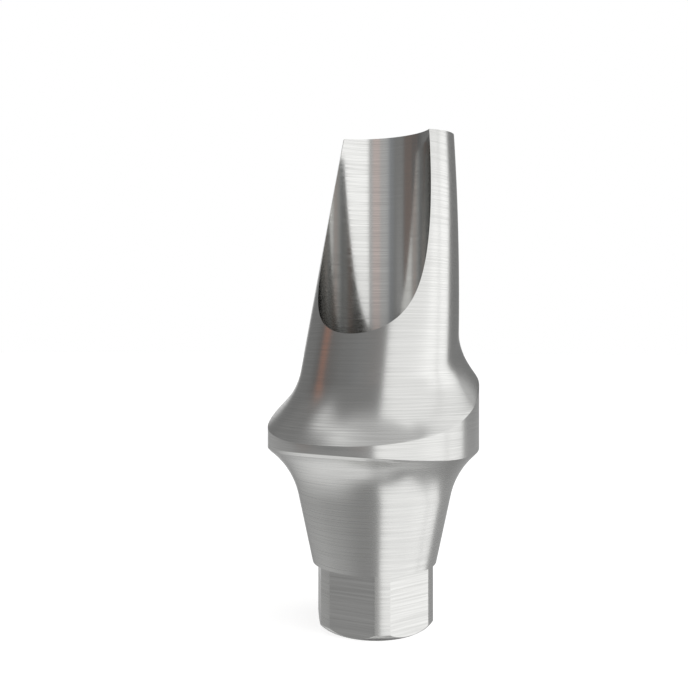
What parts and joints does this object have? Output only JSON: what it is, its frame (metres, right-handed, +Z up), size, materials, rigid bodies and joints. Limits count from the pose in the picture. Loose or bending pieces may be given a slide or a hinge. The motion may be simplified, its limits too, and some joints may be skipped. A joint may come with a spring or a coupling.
{
  "type": "dental abutment",
  "caption": "Angled titanium abutment for a dental implant: hexagonal end, tapered seat, scalloped collar and a leaning post opened along one side by its screw channel.",
  "frame": {"origin": "on the implant axis, in the plane of the hexagonal end's end face", "axes": "+Z up the implant axis towards the post's head, +Y the way the post leans, square to one flat of the hexagon; the screw channel opens towards -Y"},
  "size_m": [0.0047, 0.0055, 0.0115],
  "materials": {
    "titanium_alloy": "turned and milled titanium alloy, bare, with fine tool lines and a soft sheen"
  },
  "bodies": {
    "root": {"abutment_body": "titanium_alloy"}
  },
  "joints": []
}
